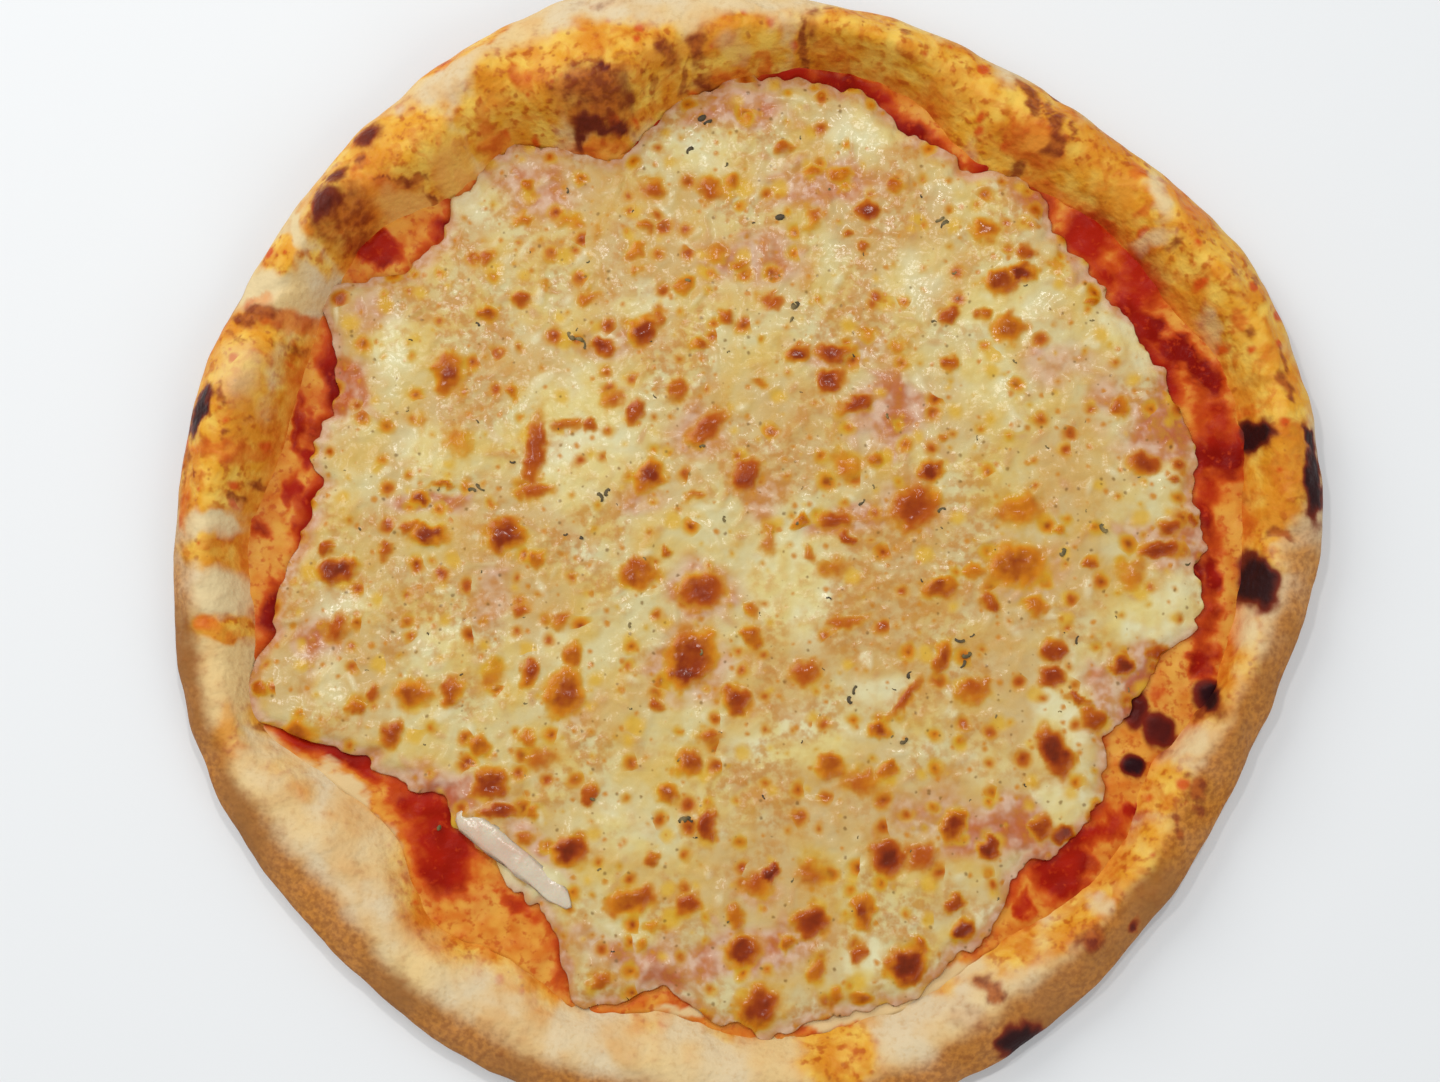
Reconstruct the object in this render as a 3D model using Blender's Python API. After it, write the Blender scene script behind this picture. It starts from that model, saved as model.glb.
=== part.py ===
# A round cheese pizza: a baked crust with a puffed rim, tomato sauce on it and a sheet of melted cheese.
# Named lengths are in millimetres and turned into metres where the meshes are made. Angles run
# anticlockwise from +X, seen from above, and the underside rests on z = 0 round the origin.
import math
import random

import bmesh
import bpy
from mathutils import Euler, Matrix, Vector, noise
from mathutils.bvhtree import BVHTree

MM = 0.001
GAP = 0.3

# Crust: a thin base, and a rim whose neutral section runs from its foot to its outer side
BASE_THICK = 3.5
RIM_FOOT = 125.0
RIM_OUTER = 150.0
RIM_HIGH = 20.0
CRUST_STEPS = 108
CRUST_LUMPS = 1.5
RIM_SECTION = [
    (136.0, 0.0),
    (141.5, 0.7),
    (146.0, 2.8),
    (148.8, 6.0),
    (150.0, 9.6),
    (149.2, 13.2),
    (146.8, 16.4),
    (143.4, 18.8),
    (139.6, 20.0),
    (136.2, 19.0),
    (133.4, 16.4),
    (131.0, 12.8),
    (128.8, 9.0),
    (126.8, 5.8),
    (125.0, 3.5),
]

# How far the rim's outer side lies from the centre, and how high it stands, every 15 degrees
OUTER_REACH = [
    150, 152, 152, 146, 145, 146, 148, 154, 153, 151, 150, 151,
    151, 153, 153, 151, 152, 151, 149, 150, 147, 143, 141, 143,
]
RIM_HEIGHT = [
    15, 17, 19, 19, 18, 19, 20, 22, 21, 19, 17, 17,
    16, 14, 13, 13, 12, 12, 12, 12, 13, 14, 14, 14,
]

# Where the rim's foot and the cheese's edge lie, every 10 degrees
FOOT_REACH = [
    128, 131, 133, 127, 126, 122, 118, 127, 129, 125, 118, 108,
    122, 121, 129, 128, 125, 125, 131, 130, 135, 123, 117, 126,
    122, 126, 121, 126, 125, 124, 120, 122, 123, 118, 124, 127,
]
CHEESE_REACH = [
    119, 118, 120, 116, 115, 120, 114, 118, 122, 119, 117, 107,
    121, 119, 117, 127, 116, 117, 118, 127, 134, 115, 106, 107,
    109, 125, 117, 124, 123, 122, 117, 111, 115, 107, 110, 118,
]

# Puffed lengths of the rim: angle, distance from the centre, length, width and lift
PUFFS = [
    (109, 125, 52, 20, 6.0),
    (91, 130, 22, 16, 3.0),
    (76, 133, 36, 20, 3.5),
    (142, 138, 22, 20, 4.5),
    (120, 146, 22, 12, 2.0),
    (55, 135, 22, 18, 2.0),
    (31, 139, 40, 22, 2.0),
    (10, 138, 28, 20, 2.5),
    (165, 141, 26, 18, 4.0),
    (174, 137, 22, 18, 1.5),
    (340, 132, 30, 16, 1.5),
]

# Blisters on the rim: angle, distance from the centre, length, width and thickness
BLISTER_SUNK = 0.15
RIM_BLISTERS = [
    (109, 122, 17, 12, 7),
    (100, 130, 9, 6, 4),
    (135, 131, 14, 9, 6),
    (142, 143, 17, 8, 5),
    (134, 147, 8, 6, 4),
    (149, 144, 9, 8, 5),
    (167, 146, 14, 7, 4),
    (156, 143, 12, 5, 3),
    (7, 147, 22, 7, 5),
    (11, 135, 8, 6, 3),
    (355, 134, 16, 10, 5),
    (341, 130, 10, 7, 4),
    (310, 136, 7, 6, 3),
    (298, 131, 7, 6, 3),
    (298, 144, 11, 6, 3),
]

# Sauce and cheese: thin discs with as many points round them as the crust has steps
SAUCE_THICK = 1.0
CHEESE_THICK = 2.8
CHEESE_RINGS = CRUST_STEPS // 6
CHEESE_WAVE = 0.55
CHEESE_EDGE_DROP = 1.1
CHEESE_EDGE_SHARE = 0.93
SAUCE_BOTTOM = BASE_THICK + GAP
CHEESE_BOTTOM = SAUCE_BOTTOM + SAUCE_THICK + GAP
CHEESE_TOP = CHEESE_BOTTOM + CHEESE_THICK

# Large toasted blisters of the cheese: x, y, length, width and turn
TOASTED_BLISTERS = [
    (-57, 23, 20, 5, 85),
    (-80, 46, 11, 7, 75),
    (-109, -8, 9, 6, 5),
    (-112, -50, 9, 8, 40),
    (-67, -64, 8, 6, 60),
    (-47, -81, 8, 8, 0),
    (-48, -40, 12, 9, 70),
    (-64, 1, 10, 8, 0),
    (-30, -9, 9, 6, 50),
    (-13, -13, 10, 8, 0),
    (-15, -29, 13, 9, 60),
    (-3, -42, 7, 6, 0),
    (-26, 17, 8, 5, 60),
    (-1, 17, 8, 6, 80),
    (-12, 29, 12, 6, 70),
    (69, 71, 12, 6, 20),
    (31, 89, 6, 5, 0),
    (-28, 56, 8, 7, 60),
    (-39, 52, 8, 5, 0),
    (21, 43, 8, 6, 20),
    (23, 51, 8, 4, 5),
    (28, 36, 9, 4, 20),
    (43, 9, 12, 9, 30),
    (48, 20, 6, 5, 70),
    (70, -7, 14, 10, 10),
    (106, -3, 9, 5, 0),
    (104, 20, 8, 5, -20),
    (79, -31, 6, 9, 0),
    (79, -56, 12, 6, -65),
    (35, -83, 8, 7, 0),
    (39, -109, 8, 7, 0),
    (16, -99, 7, 7, 0),
    (29, -96, 7, 6, 90),
    (-2, -105, 10, 6, 20),
    (-31, -93, 12, 6, 15),
    (-16, -94, 6, 6, 0),
    (49, -13, 8, 5, 15),
    (69, 56, 7, 7, 0),
    (50, -31, 9, 4, 70),
    (-89, -39, 8, 7, 0),
    (21, -59, 8, 6, 20),
    (-84, 3, 8, 4, 0),
]
TOASTED_THICK = 2.6
STRIP_THICK = 2.4
SMALL_BITS = 60
SMALL_BLISTER_THICK = 1.8
SMALL_BITS_REACH = 108.0
FLAKE_THICK = 0.7

# Strips of cheese that kept their shape: x and y of both ends, and width
UNMELTED_STRIPS = [
    (-69, -74, -47, -93, 3.0),
    (24, 109, 38, 111, 2.6),
    (-88, -66, -78, -66, 2.4),
    (47, 100, 52, 92, 2.2),
]


def around(table, angle):
    """A smooth curve through values spaced evenly round the circle, read at an angle in radians."""
    place = angle / math.tau % 1 * len(table)
    first = int(place)
    t = place - first
    a, b, c, d = (table[(first + k) % len(table)] for k in (-1, 0, 1, 2))
    return b + 0.5 * t * (c - a + t * (2 * a - 5 * b + 4 * c - d + t * (3 * (b - c) + d - a)))


def polar(angle, distance):
    return math.cos(angle) * distance, math.sin(angle) * distance


def lumps(x, y, z, size):
    """Smooth uneven lumps between about -1 and 1, as wide as the size."""
    return noise.noise(Vector((x, y, z)) / size)


def puff_lift(angle, distance):
    """How much the puffed lengths raise the rim at a place."""
    lift = 0.0
    for degrees, centre, length, width, height in PUFFS:
        turn = (angle - math.radians(degrees) + math.pi) % math.tau - math.pi
        along = turn * centre / (length / 2)
        across = (distance - centre) / (width / 2)
        lift += height * math.exp(-(along**2) - across**2)
    return lift


def shape_crust_vertex(vertex):
    """Moves a vertex of the neutral turned crust to its place on the real, uneven one."""
    angle = math.atan2(vertex.co.y, vertex.co.x)
    distance = math.hypot(vertex.co.x, vertex.co.y) / MM
    height = vertex.co.z / MM
    foot = around(FOOT_REACH, angle)
    if distance <= RIM_FOOT:
        distance *= foot / RIM_FOOT
    else:
        width_share = (distance - RIM_FOOT) / (RIM_OUTER - RIM_FOOT)
        distance = foot + width_share * (around(OUTER_REACH, angle) - foot)
    if height > BASE_THICK + GAP / 2:
        rise = (height - BASE_THICK) / (RIM_HIGH - BASE_THICK)
        height = BASE_THICK + rise * (around(RIM_HEIGHT, angle) - BASE_THICK)
        x, y = polar(angle, distance)
        height += rise * (puff_lift(angle, distance) + CRUST_LUMPS * lumps(x, y, 0, 13))
        distance += rise * CRUST_LUMPS * lumps(x, y, height + 40, 11)
    vertex.co = Vector((*polar(angle, distance), height)) * MM


def crust_mesh():
    """The base and rim, turned from one section and then shaped."""
    mesh = bmesh.new()
    outline = [(0.0, 0.0)] + RIM_SECTION + [(0.0, BASE_THICK)]
    points = [mesh.verts.new((x * MM, 0, z * MM)) for x, z in outline]
    lines = [mesh.edges.new(ends) for ends in zip(points, points[1:])]
    bmesh.ops.spin(
        mesh, geom=points + lines, cent=(0, 0, 0), axis=(0, 0, 1), angle=math.tau, steps=CRUST_STEPS
    )
    bmesh.ops.remove_doubles(mesh, verts=mesh.verts, dist=0.01 * MM)
    for vertex in mesh.verts:
        shape_crust_vertex(vertex)
    return mesh


def sauce_mesh():
    """A thin flat disc that stops just inside the rim's foot."""
    mesh = bmesh.new()
    bmesh.ops.create_circle(mesh, cap_ends=True, cap_tris=True, segments=CRUST_STEPS, radius=1)
    bmesh.ops.translate(mesh, verts=mesh.verts, vec=(0, 0, SAUCE_BOTTOM * MM))
    for vertex in mesh.verts:
        if vertex.co.xy.length > 0.5:
            angle = math.atan2(vertex.co.y, vertex.co.x)
            vertex.co.xy = Vector(polar(angle, around(FOOT_REACH, angle) - 2 * GAP)) * MM
    made = bmesh.ops.extrude_face_region(mesh, geom=mesh.faces)["geom"]
    top = [piece for piece in made if isinstance(piece, bmesh.types.BMVert)]
    bmesh.ops.translate(mesh, verts=top, vec=(0, 0, SAUCE_THICK * MM))
    return mesh


def cheese_reach(angle):
    """The cheese's scalloped edge, always clear of the rim."""
    x, y = polar(angle, RIM_FOOT)
    scalloped = around(CHEESE_REACH, angle) + 1.5 * lumps(x, y, 7, 6)
    return min(scalloped, around(FOOT_REACH, angle) - 2 * GAP)


def ring_point(ring, place):
    """A point of one of the cheese's rings: six places on the first, and six more on each next one."""
    angle = place / (6 * ring) * math.tau if ring else 0.0
    return polar(angle, ring / CHEESE_RINGS * cheese_reach(angle))


def cheese_height(x, y, share):
    """The cheese's waved top, which thins over its last few millimetres."""
    wave = CHEESE_WAVE * (lumps(x, y, 3, 16) + 0.6 * lumps(x, y, 5, 8))
    drop = CHEESE_EDGE_DROP * max(0.0, share - CHEESE_EDGE_SHARE) / (1 - CHEESE_EDGE_SHARE)
    return CHEESE_TOP + wave - drop


def cheese_mesh():
    """A closed sheet: a waved top of triangles alike in size, a rounded edge and a flat underside."""
    mesh = bmesh.new()
    top = []
    for ring in range(CHEESE_RINGS + 1):
        places = [ring_point(ring, place) for place in range(max(1, 6 * ring))]
        top.append([mesh.verts.new((x, y, cheese_height(x, y, ring / CHEESE_RINGS))) for x, y in places])
    for ring in range(1, CHEESE_RINGS + 1):
        inner, outer = top[ring - 1], top[ring]
        for side in range(6):
            for step in range(ring):
                start = side * ring + step
                a = outer[start]
                b = outer[(start + 1) % len(outer)]
                c = inner[(side * (ring - 1) + step) % len(inner)]
                mesh.faces.new((a, b, c))
                if step:
                    mesh.faces.new((a, c, inner[side * (ring - 1) + step - 1]))
    rim = [edge for edge in mesh.edges if edge.is_boundary]
    for drop, shrink in ((0.5, 1.0), (1.0, 0.99)):
        made = bmesh.ops.extrude_edge_only(mesh, edges=rim)["geom"]
        rim = [piece for piece in made if isinstance(piece, bmesh.types.BMEdge)]
        for vertex in (piece for piece in made if isinstance(piece, bmesh.types.BMVert)):
            vertex.co.z += drop * (CHEESE_BOTTOM - vertex.co.z)
            vertex.co.xy *= shrink
    under = mesh.verts.new((0, 0, CHEESE_BOTTOM))
    for edge in rim:
        mesh.faces.new((*edge.verts, under))
    for vertex in mesh.verts:
        vertex.co *= MM
    return mesh


def add_object(name, mesh, colour, roughness):
    """Makes an object of a mesh, with its faces pointing out and its own material."""
    bmesh.ops.recalc_face_normals(mesh, faces=mesh.faces)
    data = bpy.data.meshes.new(name)
    mesh.to_mesh(data)
    mesh.free()
    data.shade_smooth()
    thing = bpy.data.objects.new(name, data)
    bpy.context.scene.collection.objects.link(thing)
    finish = bpy.data.materials.new(name)
    finish.use_nodes = True
    shader = finish.node_tree.nodes["Principled BSDF"]
    shader.inputs["Base Color"].default_value = (*colour, 1)
    shader.inputs["Roughness"].default_value = roughness
    data.materials.append(finish)
    return thing


def surface_height(tree, x, y):
    """Height of a surface seen from straight above, in millimetres."""
    hit = tree.ray_cast(Vector((x * MM, y * MM, 0.1)), Vector((0, 0, -1)))[0]
    return hit.z / MM


def add_blob(collection, place, sizes, turn, subdivisions=2):
    """A rounded lump of the given length, width and thickness."""
    mesh = bmesh.new()
    bmesh.ops.create_icosphere(mesh, subdivisions=subdivisions, radius=0.5)
    matrix = Matrix.Translation(Vector(place) * MM)
    matrix @= Euler((0, 0, turn)).to_matrix().to_4x4()
    matrix @= Matrix.Diagonal((*(size * MM for size in sizes), 1))
    bmesh.ops.transform(mesh, matrix=matrix, verts=mesh.verts)
    link_bit(collection, "blob", mesh)


def add_flake(collection, place, length, width, turn, lean):
    """A thin bent leaf of dried herb, its outer end lifted a little."""
    mesh = bmesh.new()
    bmesh.ops.create_cube(mesh, size=1)
    for vertex in mesh.verts:
        end_share = vertex.co.x + 0.5
        vertex.co.y *= 1 - 0.6 * end_share
        vertex.co.z += 0.8 * end_share
    matrix = Matrix.Translation(Vector(place) * MM)
    matrix @= Euler((lean, 0, turn)).to_matrix().to_4x4()
    matrix @= Matrix.Diagonal((length * MM, width * MM, FLAKE_THICK * MM, 1))
    bmesh.ops.transform(mesh, matrix=matrix, verts=mesh.verts)
    link_bit(collection, "flake", mesh)


def link_bit(collection, name, mesh):
    bmesh.ops.recalc_face_normals(mesh, faces=mesh.faces)
    data = bpy.data.meshes.new(name)
    mesh.to_mesh(data)
    mesh.free()
    collection.objects.link(bpy.data.objects.new(name, data))


def fuse(thing, collection):
    """Joins every object of a collection to a thing, as one solid, and removes the collection."""
    union = thing.modifiers.new("fused bits", "BOOLEAN")
    union.operation = "UNION"
    union.operand_type = "COLLECTION"
    union.collection = collection
    union.solver = "EXACT"
    graph = bpy.context.evaluated_depsgraph_get()
    fused = bpy.data.meshes.new_from_object(thing.evaluated_get(graph))
    thing.modifiers.remove(union)
    thing.data = fused
    for bit in list(collection.objects):
        bpy.data.objects.remove(bit)
    bpy.data.collections.remove(collection)


def new_collection(name):
    collection = bpy.data.collections.new(name)
    bpy.context.scene.collection.children.link(collection)
    return collection


def add_crust():
    """The baked dough, one solid with the blisters of its rim."""
    mesh = crust_mesh()
    bmesh.ops.recalc_face_normals(mesh, faces=mesh.faces)
    tree = BVHTree.FromBMesh(mesh)
    crust = add_object("crust", mesh, (0.66, 0.42, 0.18), 0.6)
    blisters = new_collection("blisters of the rim")
    for degrees, distance, length, width, thickness in RIM_BLISTERS:
        angle = math.radians(degrees)
        x, y = polar(angle, distance)
        height = surface_height(tree, x, y) - BLISTER_SUNK * thickness
        add_blob(blisters, (x, y, height), (length, width, thickness), angle + math.pi / 2)
    fuse(crust, blisters)


def add_tomato_sauce():
    """A thin even layer on the base, which shows wherever the cheese stops short of the rim."""
    add_object("tomato_sauce", sauce_mesh(), (0.4, 0.03, 0.01), 0.3)


def add_melted_cheese():
    """The sheet of cheese, one solid with its toasted blisters, herb flakes and unmelted strips."""
    mesh = cheese_mesh()
    bmesh.ops.recalc_face_normals(mesh, faces=mesh.faces)
    tree = BVHTree.FromBMesh(mesh)
    cheese = add_object("melted_cheese", mesh, (0.75, 0.6, 0.3), 0.35)
    bits = new_collection("bits on the cheese")
    for x, y, length, width, degrees in TOASTED_BLISTERS:
        place = (x, y, surface_height(tree, x, y))
        add_blob(bits, place, (length, width, TOASTED_THICK), math.radians(degrees))
    for x0, y0, x1, y1, width in UNMELTED_STRIPS:
        x, y = (x0 + x1) / 2, (y0 + y1) / 2
        place = (x, y, surface_height(tree, x, y))
        length = math.hypot(x1 - x0, y1 - y0)
        add_blob(bits, place, (length, width, STRIP_THICK), math.atan2(y1 - y0, x1 - x0))
    draw = random.Random(5)
    for number in range(SMALL_BITS):
        angle = number * math.pi * (3 - math.sqrt(5))
        distance = SMALL_BITS_REACH * math.sqrt((number + 0.5) / SMALL_BITS)
        x, y = polar(angle, distance + draw.uniform(-4, 4))
        place = (x, y, surface_height(tree, x, y))
        turn = draw.uniform(0, math.tau)
        if number % 7 < 3:
            sizes = (draw.uniform(3, 5.5), draw.uniform(2.5, 4), SMALL_BLISTER_THICK)
            add_blob(bits, place, sizes, turn, 1)
        else:
            length, width = draw.uniform(2, 3.6), draw.uniform(1, 1.6)
            add_flake(bits, place, length, width, turn, lean=draw.uniform(-0.5, 0.5))
    fuse(cheese, bits)


for thing in list(bpy.data.objects):
    bpy.data.objects.remove(thing)
add_crust()
add_tomato_sauce()
add_melted_cheese()
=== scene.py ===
import math
import random

import bmesh
import bpy
import numpy as np
from mathutils import Euler, Matrix, Vector, noise


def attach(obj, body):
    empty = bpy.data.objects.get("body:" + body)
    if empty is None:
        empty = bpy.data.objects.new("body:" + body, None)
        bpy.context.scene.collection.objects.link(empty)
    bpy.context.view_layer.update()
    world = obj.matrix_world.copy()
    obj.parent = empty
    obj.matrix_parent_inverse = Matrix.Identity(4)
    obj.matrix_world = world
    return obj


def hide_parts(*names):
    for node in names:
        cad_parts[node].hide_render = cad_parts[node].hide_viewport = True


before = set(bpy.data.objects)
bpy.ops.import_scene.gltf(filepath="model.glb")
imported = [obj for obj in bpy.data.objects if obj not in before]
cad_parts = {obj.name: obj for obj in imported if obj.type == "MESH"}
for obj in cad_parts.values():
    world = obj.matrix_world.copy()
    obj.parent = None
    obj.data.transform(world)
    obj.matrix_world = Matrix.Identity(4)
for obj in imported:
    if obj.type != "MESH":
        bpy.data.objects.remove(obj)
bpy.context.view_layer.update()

# Camera
# It looks almost straight down and leans a little towards the pizza's near edge. A pixel of the
# picture then stands for one place on the pizza, where its height above the underside is known.
MM = 0.001
PICTURE_WIDE, PICTURE_HIGH = 1440, 1082
SENSOR_WIDE, LENS = 36.0, 50.0
CAMERA_LEAN = math.radians(6.6)
CAMERA_AWAY = 525 * MM
LOOKED_AT = Vector((-7.9, -0.2, 8.0)) * MM


def add_object(name, data):
    made = bpy.data.objects.new(name, data)
    bpy.context.scene.collection.objects.link(made)
    return made


camera_data = bpy.data.cameras.new("camera")
camera_data.sensor_width = SENSOR_WIDE
camera_data.lens = LENS
camera = add_object("camera", camera_data)
camera.rotation_euler = Euler((CAMERA_LEAN, 0, 0))
camera.location = LOOKED_AT + camera.rotation_euler.to_matrix() @ Vector((0, 0, CAMERA_AWAY))
bpy.context.scene.camera = camera

PIXELS_AWAY = LENS / SENSOR_WIDE * PICTURE_WIDE
EYE = np.array(camera.location) / MM
EYE_TURN = np.array(camera.rotation_euler.to_matrix())


def seen_at(pixel_x, pixel_y, height):
    """The x and y, in millimetres, of what a pixel shows at a height above the underside."""
    ray = EYE_TURN @ (pixel_x - PICTURE_WIDE / 2, PICTURE_HIGH / 2 - pixel_y, -PIXELS_AWAY)
    return (EYE + ray * (height - EYE[2]) / ray[2])[:2]


# Baked crust
# One piece of wheat dough, stretched by hand and baked on a hot floor. Its rim puffed up, turned
# golden and burst into brown and charred blisters, and its outer side stayed floury and tan.
PIXEL = 0.2625
MOST_VERTICES = 200000
BASE_THICK, BASE_SLACK = 3.5, 0.3
RIM_FOOT, RIM_OUTER, RIM_HIGH = 125.0, 150.0, 20.0
RIM_SECTION = [
    (136.0, 0.0), (141.5, 0.7), (146.0, 2.8), (148.8, 6.0), (150.0, 9.6), (149.2, 13.2), (146.8, 16.4),
    (143.4, 18.8), (139.6, 20.0), (136.2, 19.0), (133.4, 16.4), (131.0, 12.8), (128.8, 9.0), (126.8, 5.8),
    (125.0, 3.5),
]
OUTER_REACH = [
    150, 152, 152, 146, 145, 146, 148, 154, 153, 151, 150, 151,
    151, 153, 153, 151, 152, 151, 149, 150, 147, 143, 141, 143,
]
RIM_HEIGHT = [
    15, 17, 19, 19, 18, 19, 20, 22, 21, 19, 17, 17,
    16, 14, 13, 13, 12, 12, 12, 12, 13, 14, 14, 14,
]
FOOT_REACH = [
    128, 131, 133, 127, 126, 122, 118, 127, 129, 125, 118, 108,
    122, 121, 129, 128, 125, 125, 131, 130, 135, 123, 117, 126,
    122, 126, 121, 126, 125, 124, 120, 122, 123, 118, 124, 127,
]
CHEESE_REACH = [
    119, 118, 120, 116, 115, 120, 115, 120, 125, 124, 118, 107,
    121, 119, 117, 127, 116, 117, 118, 127, 134, 115, 106, 107,
    109, 125, 117, 124, 123, 122, 117, 111, 115, 107, 110, 118,
]
CHEESE_CLIMB = 3.0
CRUST_STEPS = 1080
CRUST_LUMPS = 1.5
RIM_BLISTER_LIFT, RIM_DRAWN_IN = 0.6, 0.48
CREST_FROM, CREST_LOWERED = 23.0, 0.7

# Angle, distance from the centre, length, width and lift of the rim's puffed lengths and blisters
PUFFS = [
    (109, 125, 52, 20, 6.0), (91, 130, 22, 16, 3.0), (76, 133, 36, 20, 3.5), (142, 138, 22, 20, 4.5),
    (120, 146, 22, 12, 2.0), (55, 135, 22, 18, 2.0), (31, 139, 40, 22, 2.0), (10, 138, 28, 20, 2.5),
    (165, 141, 26, 18, 4.0), (174, 137, 22, 18, 1.5), (340, 132, 30, 16, 1.5),
]
RIM_BLISTERS = [
    (109, 122, 17, 12, 2.4), (100, 130, 9, 6, 1.6), (135, 131, 14, 9, 2.1), (142, 143, 17, 8, 1.7),
    (134, 147, 8, 6, 1.4), (149, 144, 9, 8, 1.8), (167, 146, 14, 7, 1.4), (156, 143, 12, 5, 1.0),
    (7, 147, 22, 7, 1.7), (11, 135, 8, 6, 1.2), (355, 134, 16, 10, 1.7), (341, 130, 10, 7, 1.4),
    (310, 136, 7, 6, 1.2), (298, 131, 7, 6, 1.2), (298, 144, 11, 6, 1.2),
]

# Heights at which the marks and creases are seen, and how far three colours reach from the rim's foot
RIM_SEEN, CREASE_SEEN, DRY_SEEN, RED_SEEN = 14.0, 16.0, 7.0, 7.5
FOOT_GOLD, FOOT_RED, FOOT_STAIN = 13.0, 8.0, 7.0

# Pixel x and y, length and width in pixels, strength and any turn in degrees of the marks of baking
GOLD_MARKS = [
    (612, 150, 64, 40, 1), (520, 105, 90, 90, 1, 40), (600, 80, 150, 95, 1), (665, 75, 60, 80, 1),
    (490, 125, 60, 60, 1, 40), (463, 50, 92, 24, 1, 29), (740, 60, 100, 64, 1), (870, 60, 150, 90, 1, -12),
    (950, 95, 100, 90, 1, -35), (1030, 140, 110, 100, 1, -50), (1110, 180, 120, 90, 1, -50),
    (1180, 245, 130, 120, 1, -50), (1225, 320, 120, 120, 1, -60), (1258, 400, 110, 100, 1, -75),
    (1268, 470, 100, 90, 1, -85), (1250, 525, 60, 50, 1), (1245, 560, 70, 40, .7), (1240, 640, 50, 80, .5),
    (1160, 785, 70, 60, .8), (1195, 800, 60, 60, .5, 50), (1150, 850, 90, 50, .6, 50),
    (1090, 910, 120, 44, .6, 40), (1010, 945, 90, 50, .6, 20), (930, 985, 60, 24, .5),
    (838, 1056, 70, 70, .9), (740, 1030, 60, 24, .6), (225, 380, 100, 90, .9, 70), (212, 460, 80, 100, 1),
    (240, 340, 90, 60, .8, 10), (262, 470, 60, 90, 1), (400, 160, 130, 90, 1, 10), (350, 220, 80, 90, 1),
    (450, 180, 60, 70, .8), (285, 258, 34, 34, 1), (318, 262, 30, 20, .6, -30), (275, 560, 70, 120, 1),
    (205, 550, 50, 30, .7), (222, 628, 60, 24, .9), (262, 715, 40, 40, .5), (225, 740, 30, 60, .35),
    (440, 905, 60, 40, .6, -40),
]
ORANGE_MARKS = [
    (522, 89, 36, 18, .9, -60), (493, 138, 30, 26, .9), (521, 145, 24, 20, .8), (595, 145, 70, 26, .8),
    (740, 78, 80, 26, 1), (750, 87, 50, 24, 1), (765, 62, 16, 30, .9, 20), (463, 38, 80, 8, .8, 26),
    (444, 68, 20, 14, .9, 40), (444, 143, 12, 12, .7), (359, 225, 60, 60, .8), (370, 188, 70, 26, .8),
    (1033, 146, 60, 44, 1, -30), (1016, 142, 20, 20, 1), (1041, 182, 120, 16, .9, -20),
    (1136, 176, 20, 20, 1), (1141, 215, 12, 24, .8, -30), (1184, 207, 70, 26, .8, -50),
    (1106, 268, 40, 26, .9, -40), (1162, 370, 34, 24, .9), (1235, 321, 14, 26, .9), (1248, 411, 26, 16, 1),
    (1229, 520, 50, 70, 1), (1238, 480, 30, 40, .7), (1209, 614, 30, 70, 1), (1184, 715, 36, 34, 1),
    (1150, 800, 40, 40, .5), (1098, 746, 30, 16, .9), (1020, 920, 60, 30, .8, 30),
    (1090, 880, 60, 30, .7, 40), (930, 975, 70, 22, .7, 10), (850, 1060, 40, 30, .4),
    (792, 1031, 26, 12, .7), (545, 960, 26, 60, .9, 30), (480, 905, 90, 30, .9, -40),
    (600, 1000, 60, 16, .5, -10), (365, 790, 20, 70, .9, 50), (338, 760, 12, 60, .7, 25),
    (309, 321, 110, 22, 1), (318, 350, 50, 70, .9), (300, 400, 40, 90, .9), (226, 453, 90, 20, .9),
    (288, 455, 40, 30, .8), (276, 556, 54, 110, 1), (185, 500, 14, 60, .8), (208, 626, 22, 18, 1),
    (222, 540, 50, 22, .4), (258, 302, 40, 14, .7),
]
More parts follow.
